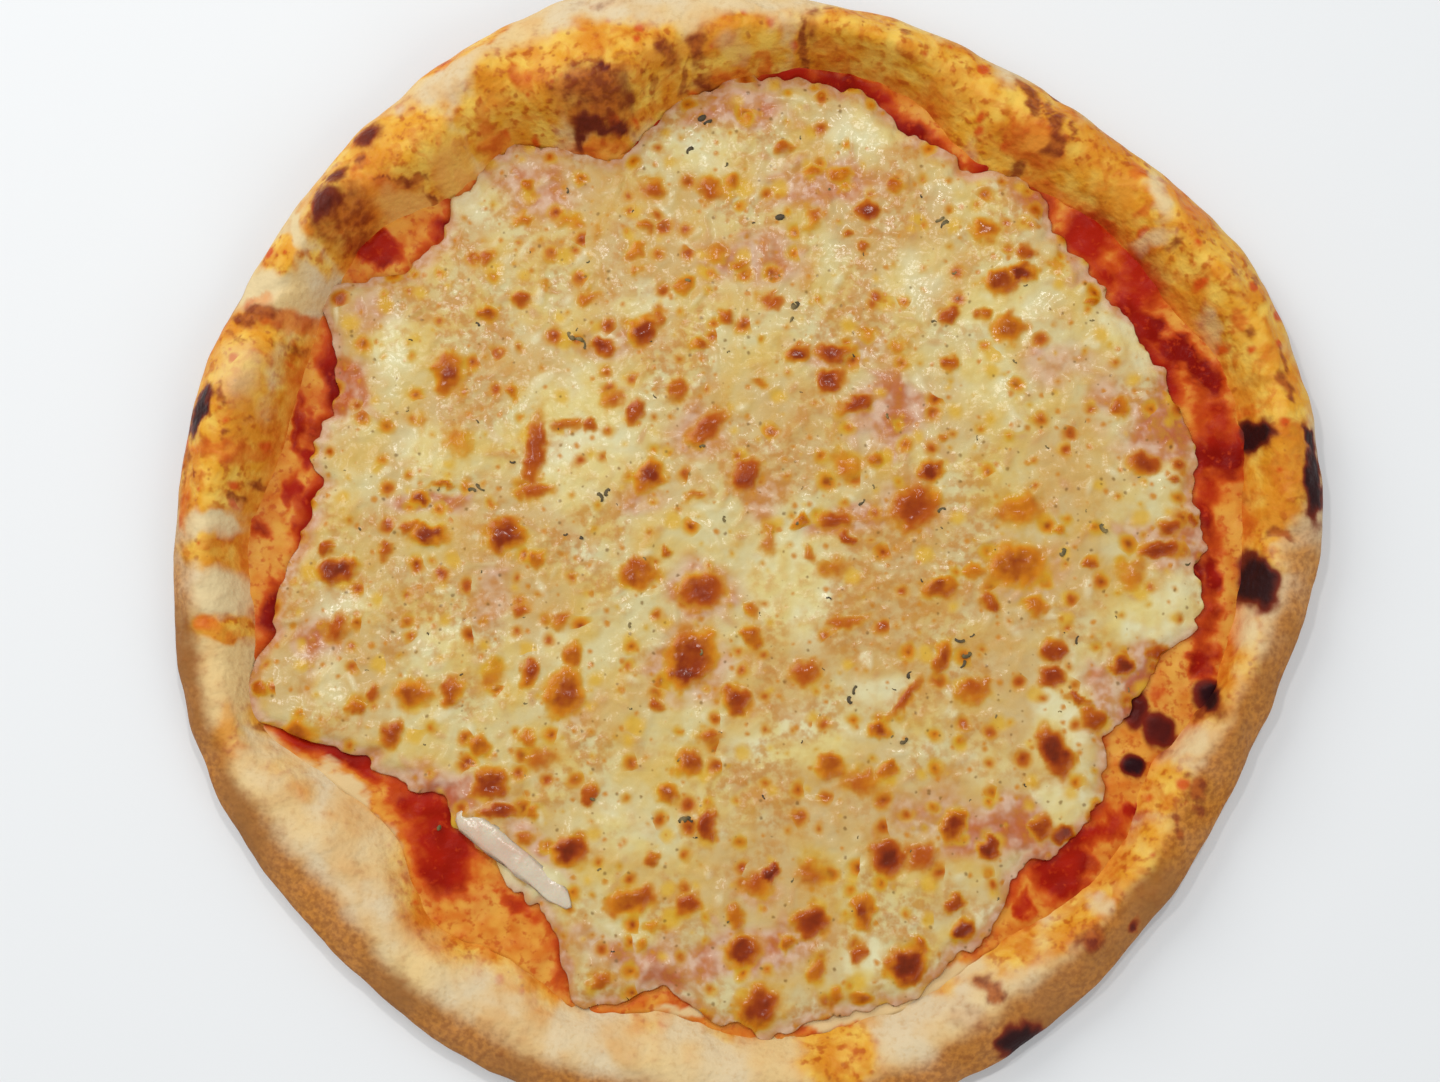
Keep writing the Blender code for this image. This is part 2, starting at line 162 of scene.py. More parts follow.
BROWN_MARKS = [
    (592, 99, 80, 54, .9), (607, 163, 36, 20, .9), (665, 59, 32, 18, .9, -60), (697, 51, 20, 34, .9),
    (684, 77, 8, 26, .8), (704, 78, 34, 12, .8), (651, 84, 10, 16, .7), (804, 48, 8, 54, .9),
    (812, 30, 14, 40, .6), (829, 18, 20, 10, .6), (905, 40, 20, 6, .6, -20), (369, 138, 34, 26, 1, 40),
    (359, 166, 14, 20, .8, -20), (345, 235, 60, 30, .6, 20), (461, 192, 10, 8, .7), (400, 180, 60, 5, .9, 5),
    (428, 194, 30, 5, .9, -40), (1027, 101, 50, 13, 1, -72), (1047, 113, 26, 11, .9, -75),
    (1057, 131, 26, 13, 1, 70), (1051, 150, 24, 16, 1, 30), (1071, 133, 28, 6, .9, 80),
    (1020, 164, 16, 12, .8), (1055, 94, 14, 8, 1, -20), (1025, 192, 60, 6, .8, -15),
    (1171, 246, 8, 16, .8, -20), (1229, 278, 11, 10, .8), (1255, 284, 9, 14, .8, 20),
    (1279, 381, 11, 26, 1, 10), (1287, 398, 9, 20, .9, 10), (1283, 362, 9, 24, .9, 10),
    (1246, 334, 14, 14, .7), (1258, 380, 30, 16, .4), (1281, 536, 24, 9, 1, -20), (1249, 493, 13, 13, .5),
    (1199, 789, 20, 26, 1), (1184, 803, 9, 9, .9), (1179, 821, 8, 14, .9), (1181, 836, 12, 12, .9),
    (1199, 812, 9, 9, .8), (1210, 705, 40, 36, .7), (1174, 755, 20, 12, .5), (1093, 942, 24, 24, 1),
    (991, 991, 22, 25, 1), (948, 975, 13, 15, .8), (1134, 928, 16, 12, 1, 30), (1110, 905, 8, 8, .5),
    (970, 1020, 40, 30, .4, 30), (258, 316, 52, 18, 1), (223, 398, 10, 24, .8), (251, 484, 15, 11, .9, 20),
    (235, 498, 12, 10, .8), (200, 476, 5, 8, 1, -20), (286, 490, 34, 12, 1, 20), (240, 338, 26, 8, .6, -20),
    (290, 347, 40, 8, .5, -10), (258, 526, 22, 24, .8, -60), (306, 457, 10, 36, 1), (248, 420, 6, 6, .6),
    (602, 10, 60, 14, .45, 5), (256, 728, 14, 9, .7), (183, 470, 6, 40, .7), (230, 435, 12, 8, .6),
    (350, 213, 46, 60, .7),
]
CHAR_MARKS = [
    (602, 125, 64, 15, .6, 5), (578, 133, 12, 26, .6), (625, 99, 14, 32, .4), (605, 80, 10, 13, .7),
    (328, 212, 44, 28, .65, 75), (339, 181, 22, 14, .5, 60), (369, 140, 20, 16, .6, 40),
    (1255, 436, 25, 28, 1), (1309, 440, 14, 40, 1, 15), (1314, 481, 20, 90, 1), (1259, 580, 36, 56, 1, 10),
    (1207, 695, 28, 26, 1), (1135, 708, 25, 38, .75), (1159, 731, 38, 30, .75, -50), (1133, 766, 22, 22, 1),
    (1022, 1040, 44, 26, 1, 30), (201, 412, 52, 15, 1, 70), (1093, 944, 12, 12, .5), (1134, 928, 9, 8, .7),
    (1190, 772, 14, 8, .3),
]
PALE_MARKS = [
    (735, 52, 44, 22, .4), (1157, 199, 22, 60, .8, 10), (1151, 238, 38, 20, .6), (1214, 330, 20, 50, .6, 20),
    (298, 230, 16, 44, 1, 20), (262, 290, 60, 40, 1), (240, 372, 60, 70, .5), (210, 525, 50, 26, 1),
    (221, 593, 56, 50, 1), (1250, 625, 26, 60, .8), (1190, 745, 60, 34, .8, 30), (1105, 905, 30, 30, .7),
    (970, 965, 40, 30, .8),
]
DRY_MARKS = [
    (345, 803, 140, 30, 1, -42), (262, 742, 50, 40, .8), (690, 1014, 80, 14, .7),
    (850, 1014, 160, 22, .9, 6), (935, 988, 90, 24, .9, 35),
]
AMBER_MARKS = [(405, 204, 56, 40, .9), (455, 172, 50, 60, .6)]
RED_MARKS = [
    (377, 250, 56, 26, 1), (443, 226, 26, 26, .8), (446, 255, 14, 30, .8), (858, 97, 70, 24, 1, -15),
    (925, 155, 60, 44, .9, -40), (1034, 198, 40, 16, .6, -30), (1088, 235, 54, 56, 1),
    (1141, 274, 50, 66, .9, 40), (1131, 300, 34, 40, .9), (1148, 325, 40, 46, 1, 40),
    (1180, 355, 56, 34, 1, -45), (1209, 378, 34, 50, .9), (1218, 420, 26, 50, .7), (1221, 455, 50, 56, 1),
    (1206, 505, 30, 70, .7), (1190, 574, 36, 40, .8), (1213, 573, 18, 44, .9), (1205, 662, 28, 44, .8),
    (1125, 665, 20, 22, .7), (1136, 812, 26, 14, .8), (1088, 833, 84, 26, .9, 15),
    (1062, 868, 66, 54, 1, 40), (1024, 908, 16, 30, .8), (299, 425, 16, 66, .8), (305, 457, 12, 26, .9),
    (293, 492, 12, 34, .8), (260, 530, 26, 22, .6, -60), (302, 524, 12, 28, .7), (284, 590, 22, 30, .8, 30),
    (361, 757, 64, 32, 1, -50), (420, 806, 44, 30, .9, -30), (442, 850, 56, 90, 1, 15),
    (520, 905, 60, 16, .6, -40), (715, 1000, 60, 16, .5), (970, 905, 40, 14, .5, 30),
    (1118, 268, 90, 24, .5, -50), (1168, 345, 90, 30, .55, -55), (1207, 425, 90, 26, .5, -75),
    (1210, 500, 90, 26, .5, 85), (1205, 620, 70, 22, .5, 85), (955, 172, 90, 20, .6, -35),
    (390, 782, 60, 30, .6, -40),
]
RIM_MARKS = {
    "gold": GOLD_MARKS, "orange": ORANGE_MARKS, "brown": BROWN_MARKS,
    "char": CHAR_MARKS, "pale": PALE_MARKS, "amber": AMBER_MARKS,
}

# Pixel x and y of both ends, width and depth of the creases between puffed lengths
CREASES = [
    (684, 96, 686, 40, 5.0, 3.0), (800, 80, 802, 20, 3.5, 2.0), (478, 150, 466, 120, 6.0, 2.5),
    (452, 215, 476, 150, 5.0, 2.0), (232, 326, 300, 334, 4.0, 1.6), (250, 512, 190, 520, 3.5, 1.2),
    (306, 500, 252, 508, 3.5, 1.5), (1300, 536, 1262, 530, 3.5, 1.6), (255, 298, 330, 268, 4.0, 1.5),
    (196, 618, 250, 612, 3.0, 1.2), (1000, 150, 1030, 60, 3.5, 1.2), (1180, 270, 1120, 170, 3.0, 0.8),
]


def curve(a, b, c, d, t):
    """A smooth curve through four values, read at a share t of the way from b to c."""
    return b + 0.5 * t * (c - a + t * (2 * a - 5 * b + 4 * c - d + t * (3 * (b - c) + d - a)))


def around(table, angle):
    """A smooth curve through values spaced evenly round the circle, read at angles in radians."""
    place = angle / math.tau % 1 * len(table)
    first = np.floor(place).astype(int)
    values = (np.take(table, first + step, mode="wrap") for step in (-1, 0, 1, 2))
    return curve(*values, place - first)


def lumps(x, y, z, size):
    """Smooth uneven lumps between about -1 and 1, as wide as the size."""
    points = np.stack(np.broadcast_arrays(x, y, z), axis=-1) / size
    return np.fromiter((noise.noise(point) for point in points.reshape(-1, 3).tolist()), float, x.size)


def smooth(share):
    share = np.clip(share, 0, 1)
    return share * share * (3 - 2 * share)


def cheese_edge(angle):
    """The cheese's uneven edge, which runs a little up the rim's foot where it comes close to it."""
    x, y = np.cos(angle) * RIM_FOOT, np.sin(angle) * RIM_FOOT
    reach, foot = around(CHEESE_REACH, angle), around(FOOT_REACH, angle)
    climb = CHEESE_CLIMB * (1 - smooth((foot - reach) / 6))
    reach += climb + 3.5 * lumps(x, y, 7, 11) + 2.2 * lumps(x, y, 17, 4.5)
    return np.minimum(reach + lumps(x, y, 19, 2.2), foot + CHEESE_CLIMB)


def marked(x, y, marks, height, softness=1.1):
    """How strongly each place is marked, from 0 to 1, fading over the edge of every mark."""
    strongest = np.zeros_like(x)
    for pixel_x, pixel_y, long, wide, strength, *degrees in marks:
        centre_x, centre_y = seen_at(pixel_x, pixel_y, height)
        turn = math.radians(sum(degrees))
        along = (x - centre_x) * math.cos(turn) + (y - centre_y) * math.sin(turn)
        across = (y - centre_y) * math.cos(turn) - (x - centre_x) * math.sin(turn)
        out = np.hypot(along / (long * PIXEL / 2), across / (wide * PIXEL / 2))
        strongest = np.maximum(strongest, strength * smooth((1 + softness / 2 - out) / softness))
    return strongest


def humps(angle, distance, rows, flatness):
    """Summed rounded humps of the rim, each given by angle, distance, length, width and lift."""
    lift = np.zeros_like(angle)
    for degrees, centre, length, width, height in rows:
        turn = (angle - math.radians(degrees) + math.pi) % math.tau - math.pi
        out = (turn * centre / (length / 2)) ** 2 + ((distance - centre) / (width / 2)) ** 2
        lift += height * np.exp(-(out**flatness))
    return lift


def crease_depth(x, y):
    depth = np.zeros_like(x)
    for x0, y0, x1, y1, width, deep in CREASES:
        start, end = seen_at(x0, y0, CREASE_SEEN), seen_at(x1, y1, CREASE_SEEN)
        run = end - start
        share = np.clip(((x - start[0]) * run[0] + (y - start[1]) * run[1]) / (run @ run), 0, 1)
        out = np.hypot(x - start[0] - share * run[0], y - start[1] - share * run[1])
        depth += deep * np.exp(-((out / (width / 2)) ** 2)) * smooth(1.15 - share)
    return depth


def rounded_section(corners, steps):
    """The section's corners joined by a smooth curve of short steps."""
    corners = np.array(corners)
    spaced = np.vstack((2 * corners[0] - corners[1], corners, 2 * corners[-1] - corners[-2]))
    fours = zip(spaced, spaced[1:], spaced[2:], spaced[3:])
    return [curve(*four, t) for four in fours for t in np.arange(steps) / steps] + [corners[-1]]


def read_places(data):
    """The x, y and z of a mesh's vertices, in millimetres."""
    flat = np.empty(len(data.vertices) * 3)
    data.vertices.foreach_get("co", flat)
    return flat.reshape(-1, 3).T / MM


def lathe(outline, steps):
    """A closed form of rings from the middle of its underside to the middle of its top."""
    mesh = bmesh.new()
    bmesh.ops.create_grid(mesh, x_segments=steps, y_segments=len(outline) - 1, size=0.5)
    for vertex in mesh.verts:
        radius, height = outline[round((vertex.co.y + 0.5) * (len(outline) - 1))]
        turn = (vertex.co.x + 0.5) * math.tau
        vertex.co = Vector((math.cos(turn) * radius, math.sin(turn) * radius, height)) * MM
    bmesh.ops.remove_doubles(mesh, verts=mesh.verts, dist=0.01 * MM)
    return mesh


def write_places(data, x, y, z):
    data.vertices.foreach_set("co", (np.stack((x, y, z), axis=-1) * MM).ravel())
    data.update()


def keep_fields(data, fields):
    """Stores one number of each name for each vertex, which the finish of the piece reads."""
    for name, values in fields.items():
        data.attributes.new(name, "FLOAT", "POINT").data.foreach_set("value", values.astype(np.float32))


def face_order(face):
    """A number made of a face's vertices, which puts the faces in one order in every run."""
    first, second, third = sorted(vertex.index for vertex in face.verts)[:3]
    return (first * MOST_VERTICES + second) * MOST_VERTICES + third


def add_piece(name, mesh, finish):
    """Turns a bmesh into an object that belongs to the pizza."""
    bmesh.ops.recalc_face_normals(mesh, faces=mesh.faces)
    mesh.verts.index_update()
    mesh.faces.sort(key=face_order)
    data = bpy.data.meshes.new(name)
    mesh.to_mesh(data)
    mesh.free()
    data.shade_smooth()
    data.materials.append(finish.material)
    piece = add_object(name, data)
    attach(piece, "root")
    return piece


class Amount:
    """A number or colour that varies over a surface. Maths on it adds the nodes that work it out."""

    def __init__(self, finish, socket):
        self.finish = finish
        self.socket = socket

    def maths(self, operation, *values):
        return self.finish.node("ShaderNodeMath", {"operation": operation}, dict(enumerate(values)))

    def __add__(self, other):
        return self.maths("ADD", self, other)

    __radd__ = __add__

    def __sub__(self, other):
        return self.maths("SUBTRACT", self, other)

    def __rsub__(self, other):
        return self.maths("SUBTRACT", other, self)

    def __mul__(self, other):
        return self.maths("MULTIPLY", self, other)

    __rmul__ = __mul__

    def at_least(self, other):
        return self.maths("MAXIMUM", self, other)

    def rising(self, low, high):
        """0 below low, 1 above high and smooth between. With high under low it falls instead."""
        sockets = {"Value": self, "From Min": low, "From Max": high}
        return self.finish.node("ShaderNodeMapRange", {"interpolation_type": "SMOOTHSTEP"}, sockets)


class Finish:
    """A material whose sockets are fed by what its methods make."""

    def __init__(self, name, **constants):
        self.material = bpy.data.materials.new(name)
        self.material.use_nodes = True
        self.tree = self.material.node_tree
        self.shader = self.tree.nodes["Principled BSDF"]
        for socket, value in constants.items():
            self.shader.inputs[socket.replace("_", " ")].default_value = value
        self.places = self.node("ShaderNodeTexCoord", {}, {}, "Object")

    def node(self, kind, settings, sockets, out=0):
        made = self.tree.nodes.new(kind)
        for setting, value in settings.items():
            setattr(made, setting, value)
        for socket, value in sockets.items():
            self.feed(made.inputs[socket], value)
        return Amount(self, made.outputs[out])

    def feed(self, socket, value):
        if isinstance(value, Amount):
            self.tree.links.new(value.socket, socket)
        else:
            socket.default_value = value

    def field(self, name):
        return self.node("ShaderNodeAttribute", {"attribute_name": name}, {}, "Fac")

    def clouds(self, size, detail=2.0, warp=0.0):
        """Uneven patches between 0 and 1, about as wide as the size in millimetres."""
        sockets = {"Vector": self.places, "Scale": 0.5 / (size * MM), "Detail": detail, "Distortion": warp}
        return self.node("ShaderNodeTexNoise", {}, sockets, "Fac")

    def dots(self, spacing, share, radius):
        """Uneven dots in a share of the cells that the surface is split into. It is above 0 inside
        them, rises to the middle of each, and reaches radius / spacing in the strongest."""
        sockets = {"Vector": self.places, "Scale": 0.6 / (radius * MM)}
        sway = self.node("ShaderNodeTexNoise", {}, sockets, "Color")
        sockets = {0: sway, 1: (0.8 * radius * MM,) * 3, 2: self.places}
        bent = self.node("ShaderNodeVectorMath", {"operation": "MULTIPLY_ADD"}, sockets)
        sockets = {"Vector": bent, "Scale": 1 / (spacing * MM)}
        distance = self.node("ShaderNodeTexVoronoi", {"voronoi_dimensions": "2D"}, sockets, "Distance")
        colour = Amount(self, distance.socket.node.outputs["Color"])
        chance = self.node("ShaderNodeSeparateColor", {}, {0: colour})
        return (chance - (1 - share)) * (radius / spacing / share) - distance

    def facing(self):
        """How much a surface looks up, from -1 to 1."""
        normal = self.node("ShaderNodeNewGeometry", {}, {}, "Normal")
        return self.node("ShaderNodeSeparateXYZ", {}, {0: normal}, "Z")

    def cover(self, colour, roughness, relief, relief_deep):
        """Feeds the shader with a colour, a roughness and a relief given as a depth in millimetres."""
        bump = self.node("ShaderNodeBump", {}, {"Height": relief, "Distance": relief_deep * MM})
        self.feed(self.shader.inputs["Base Color"], colour)
        self.feed(self.shader.inputs["Roughness"], roughness)
        self.feed(self.shader.inputs["Normal"], bump)


def blend(share, under, over):
    """One colour over another, by a share from 0 to 1. Plain ones are given as a screen shows them."""
    under, over = (shade(*colour) if isinstance(colour, tuple) else colour for colour in (under, over))
    sockets = {"Factor": share, 6: under, 7: over}
    return share.finish.node("ShaderNodeMix", {"data_type": "RGBA", "clamp_factor": True}, sockets, 2)


def shade(red, green, blue):
    """A colour as a screen shows it, from 0 to 255, turned into the light that it stands for."""
    parts = (part / 255 for part in (red, green, blue))
    return (*(part / 12.92 if part < 0.04 else ((part + 0.055) / 1.055) ** 2.4 for part in parts), 1)


def crust_finish():
    """Floury dough under golden, orange, brown and charred marks, tan on its side and browned below."""
    finish = Finish("baked_crust", Specular_IOR_Level=0.1)
    grain, fine, small, medium, large = (finish.clouds(size) for size in (0.7, 1.4, 2.8, 6.0, 16.0))
    cracks = finish.clouds(3.2, 3.0, warp=0.8)
    up = finish.facing()
    dough = blend(medium.rising(0.35, 0.65), (212, 190, 152), (210, 174, 120))
    dough = blend(large.rising(0.42, 0.66), dough, (218, 186, 128))
    dough = blend(0.4 * grain.rising(0.5, 0.75), dough, (196, 158, 104))
    gold_edge = finish.field("gold") + 0.6 * (medium - 0.5) + 0.35 * (small - 0.5)
    gold = blend(small.rising(0.3, 0.7), (226, 182, 78), (216, 148, 36))
    gold = blend(0.8 * medium.rising(0.42, 0.64), gold, (206, 124, 26))
    gold = blend(0.55 * cracks.rising(0.48, 0.68), gold, (196, 96, 20))
    gold = blend(0.75 * fine.rising(0.52, 0.7) * large.rising(0.34, 0.56), gold, (176, 80, 16))
    gold = blend(0.9 * finish.dots(7.0, 0.5, 2.4).rising(0, 0.22), gold, (196, 70, 14))
    gold = blend(0.6 * finish.dots(3.4, 0.35, 1.0).rising(0, 0.2), gold, (160, 78, 22))
    colour = blend(gold_edge.rising(-0.05, 0.6), dough, gold)
    pale_edge = finish.field("pale") + 0.4 * (medium - 0.5)
    colour = blend(pale_edge.rising(0.15, 0.95), colour, (216, 192, 144))
    tan = blend(grain.rising(0.3, 0.7), (188, 118, 40), (150, 86, 26))
    tan = blend(large.rising(0.4, 0.7), tan, (138, 80, 28))
    tan_edge = finish.field("side") + 0.4 * (medium - 0.5) + 0.3 * (fine - 0.5)
    colour = blend(0.9 * tan_edge.rising(0.05, 0.85), colour, tan)
    orange_edge = finish.field("orange").at_least(finish.field("stain"))
    orange_edge = orange_edge + 0.4 * (small - 0.5) + 0.2 * (fine - 0.5)
    orange = blend(small.rising(0.35, 0.65), (214, 120, 34), (192, 84, 22))
    colour = blend(0.85 * orange_edge.rising(0.05, 1.0), colour, orange)
    red_edge = finish.field("red") + 0.4 * (small - 0.5)
    red = blend(medium.rising(0.4, 0.6), (172, 48, 14), (140, 24, 8))
    colour = blend(red_edge.rising(0.1, 0.95), colour, red)
    colour = blend(0.85 * finish.field("amber").rising(0.1, 0.9), colour, (220, 164, 84))
    brown_edge = finish.field("brown") + 0.35 * (small - 0.5) + 0.25 * (fine - 0.5)
    brown = blend(fine.rising(0.35, 0.65), (166, 82, 28), (124, 50, 20))
    colour = blend(0.9 * brown_edge.rising(0.05, 0.95), colour, brown)
    char_edge = finish.field("char") + 0.25 * (small - 0.5) + 0.15 * (fine - 0.5)
    colour = blend(char_edge.rising(0, 0.6), colour, (120, 42, 20))
    colour = blend(char_edge.rising(0.3, 1.0), colour, (44, 18, 18))
    under = blend(large.rising(0.4, 0.65), (206, 166, 112), (150, 96, 52))
    under = blend(medium.rising(0.56, 0.7), under, (84, 48, 30))
    colour = blend(up.rising(-0.6, -0.95), colour, under)
    relief = 0.5 * medium + 0.3 * small + 0.2 * fine + 0.08 * grain
    finish.cover(colour, 0.6 - 0.2 * gold_edge.rising(0.3, 0.7), relief, 1.6)
    return finish


def crust_mesh():
    """The crust turned evenly round its middle, before its rim is made uneven."""
    under_rings = [(r, 0.0) for r in (0, 40, 70, 95, 110, 120, 128)]
    base_rings = [(r, BASE_THICK) for r in (119, 90, 0)]
    return lathe(under_rings + rounded_section(RIM_SECTION, 4) + base_rings, CRUST_STEPS)


def shape_crust(data):
    """Moves the turned crust's vertices to the real, uneven rim and stores the marks of baking."""
    x, y, z = read_places(data)
    angle, distance = np.arctan2(y, x), np.hypot(x, y)
    foot, outer, high = (around(table, angle) for table in (FOOT_REACH, OUTER_REACH, RIM_HEIGHT))
    width_share = (distance - RIM_FOOT) / (RIM_OUTER - RIM_FOOT)
    distance = np.where(width_share > 0, foot + width_share * (outer - foot), distance * foot / RIM_FOOT)
    rise = np.clip((z - BASE_THICK) / (RIM_HIGH - BASE_THICK), 0, None)
    x, y = np.cos(angle) * distance, np.sin(angle) * distance
    lift = humps(angle, distance, PUFFS, 1) + RIM_BLISTER_LIFT * humps(angle, distance, RIM_BLISTERS, 2)
    lift += CRUST_LUMPS * lumps(x, y, 0, 13) + 0.6 * lumps(x, y, z, 6) - crease_depth(x, y)
    z = np.where(rise > 0, BASE_THICK + rise * (high - BASE_THICK + lift), z)
    distance += rise * (CRUST_LUMPS * lumps(x, y, z + 40, 11) + 0.4 * lumps(x, y, z, 4) - RIM_DRAWN_IN)
    z -= CREST_LOWERED * smooth((z - CREST_FROM) / 3)
    x, y = np.cos(angle) * distance, np.sin(angle) * distance
    write_places(data, x, y, z)
    warp_x = x + 2.0 * lumps(x, y, z, 6) + 1.2 * lumps(x, y, z, 2.5)
    warp_y = y + 2.0 * lumps(x, y, z + 30, 6) + 1.2 * lumps(x, y, z + 30, 2.5)
    fields = {name: marked(warp_x, warp_y, marks, RIM_SEEN) for name, marks in RIM_MARKS.items()}
    from_foot = np.where(z > BASE_THICK - BASE_SLACK, distance - foot, RIM_FOOT)
    bare = smooth((foot - cheese_edge(angle)) / 6)
    patches = np.clip(0.8 + 0.9 * lumps(x, y, 51, 14), 0, 1)
    patches *= 1 - marked(warp_x, warp_y, DRY_MARKS, DRY_SEEN)
    fields["gold"] = np.maximum(fields["gold"], 0.8 * smooth(1 - from_foot / FOOT_GOLD) * bare * patches)
    floury_side = smooth((width_share - 0.5 + 0.2 * smooth(x / 120)) / 0.4) * smooth(0.5 - y / 120)
    lowest_side = smooth((width_share - 0.9) / 0.1) * smooth((13 - z) / 6)
    fields["side"] = np.maximum(floury_side, lowest_side)
    fields["stain"] = smooth(1 - from_foot / FOOT_STAIN) * patches * (0.1 + 0.9 * bare)
    near_foot = smooth(1 - from_foot / FOOT_RED)
    fields["red"] = marked(warp_x, warp_y, RED_MARKS, RED_SEEN) * (0.35 + 0.65 * near_foot)
    keep_fields(data, fields)


crust = add_piece("baked_crust", crust_mesh(), crust_finish())
shape_crust(crust.data)
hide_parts("crust")


# Tomato sauce
# Crushed tomato spread on the dough with a ladle. It cooked down to a wet, dark red layer with
# pulp in it, and shows where the cheese stops short of the rim.
SAUCE_STEPS = 720
SAUCE_BOTTOM = 3.8
SAUCE_THICK = 1.0
SAUCE_SOAKED = 3.0
SAUCE_PULP = 0.5
SAUCE_CHAR_LIFT = 1.5
SAUCE_SEEN = 5.5


def sauce_finish():
    """Wet, dark red pools on sauce cooked to gold, with dry dough and charred blisters between."""
    finish = Finish("tomato_sauce", Specular_IOR_Level=0.06)
    fine, small, medium = (finish.clouds(size) for size in (1.0, 2.6, 7.0))
    cooked = blend(small.rising(0.3, 0.7), (214, 146, 56), (200, 106, 30))
    cooked = blend(0.7 * medium.rising(0.46, 0.66), cooked, (212, 154, 66))
    cooked = blend(0.7 * fine.rising(0.52, 0.72), cooked, (178, 72, 20))
    wet = blend(medium.rising(0.38, 0.7), (160, 26, 4), (122, 10, 0))
    wet = blend(0.6 * fine.rising(0.56, 0.74), wet, (184, 58, 14))
    pool_edge = finish.field("pool") + 0.5 * (small - 0.5) + 0.5 * (medium - 0.5) + 0.3 * (fine - 0.5)
    red = blend(pool_edge.rising(0, 0.5), cooked, (194, 78, 20))
    red = blend(pool_edge.rising(0.25, 0.85), red, wet)
    dry_edge = finish.field("dry") + 0.4 * (small - 0.5) + 0.3 * (medium - 0.5)
    red = blend(dry_edge.rising(0.1, 0.8), red, (212, 180, 128))
    char_edge = finish.field("char") + 0.25 * (small - 0.5)
    red = blend(char_edge.rising(0.05, 0.5), red, (116, 32, 16))
    red = blend(char_edge.rising(0.35, 1.0), red, (40, 12, 16))
    finish.cover(red, 0.22 + 0.3 * small, 0.5 * small + 0.2 * fine, 0.7)
    return finish


def sauce_mesh():
    top_rings = [(r, SAUCE_BOTTOM + SAUCE_THICK) for r in (RIM_FOOT, *range(124, 89, -1), 80, 50, 0)]
    return lathe([(0, SAUCE_BOTTOM), (RIM_FOOT, SAUCE_BOTTOM)] + top_rings, SAUCE_STEPS)


def shape_sauce(data):
    """Fits the sauce to the crust's foot, raises it where it's bare and stores its colours' places."""
    x, y, z = read_places(data)
    angle, distance = np.arctan2(y, x), np.hypot(x, y)
    foot = around(FOOT_REACH, angle)
    distance *= (foot + SAUCE_SOAKED) / RIM_FOOT
    x, y = np.cos(angle) * distance, np.sin(angle) * distance
    top = z > SAUCE_BOTTOM + SAUCE_THICK / 2
    from_cheese = distance - cheese_edge(angle)
    bare = smooth(from_cheese / 2)
    warp_x = x + 3.0 * lumps(x, y, 13, 6) + 2.0 * lumps(x, y, 21, 2.6)
    warp_y = y + 3.0 * lumps(x, y, 15, 6) + 2.0 * lumps(x, y, 23, 2.6)
    pool = marked(warp_x, warp_y, RED_MARKS, SAUCE_SEEN, 1.4)
    hugging = smooth(1 - (from_cheese + 3 * lumps(x, y, 63, 7)) / 8)
    hugging *= np.clip(0.5 + 1.2 * lumps(x, y, 61, 15), 0, 0.95)
    pool = np.maximum(pool, hugging * (0.5 + 0.5 * smooth((y + 100) / 40)))
    char = marked(x + lumps(x, y, 25, 3), y + lumps(x, y, 27, 3), CHAR_MARKS, SAUCE_SEEN)
    climb = smooth((distance - foot + 4) / 5) * (pool + 0.5 * lumps(x, y, 17, 5))
    z += top * bare * (SAUCE_PULP + SAUCE_PULP * lumps(x, y, 11, 4) + climb + SAUCE_CHAR_LIFT * char)
    write_places(data, x, y, z)
    dry = marked(warp_x, warp_y, DRY_MARKS, SAUCE_SEEN)
    keep_fields(data, {"pool": pool, "char": char, "dry": dry})


sauce = add_piece("tomato_sauce_layer", sauce_mesh(), sauce_finish())
shape_sauce(sauce.data)
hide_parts("tomato_sauce")


# Melted cheese
# Shredded mozzarella that ran together in the oven into one sheet. It is milky where it pooled,
# pink where the sauce shows through, streaked by its shreds and toasted in orange and brown blisters.
CHEESE_SPACING = 0.72
CHEESE_GRID_HALF = 140.0
CHEESE_BOTTOM, CHEESE_THICK = 5.1, 2.8
CHEESE_WAVE = 0.55
CHEESE_EDGE_WIDE, CHEESE_EDGE_DROP = 6.0, 1.7
CHEESE_SEEN = 8.5
RIDGE_HIGH, THIN_SUNK, BLISTER_LIFT = 0.5, 0.3, 0.8
SHRED_COUNT, SHRED_REACH = 1300, 126.0
SHRED_LENGTHS, SHRED_WIDTHS = (5, 16), (1.4, 2.8)

# Height, where the sheet's is 1, and millimetres inward of the rings below the top's outline, and
# how far past that outline the grid is kept
EDGE_RINGS = [(0.45, -0.3), (0.0, 0.6)]
EDGE_SPARE = 0.3

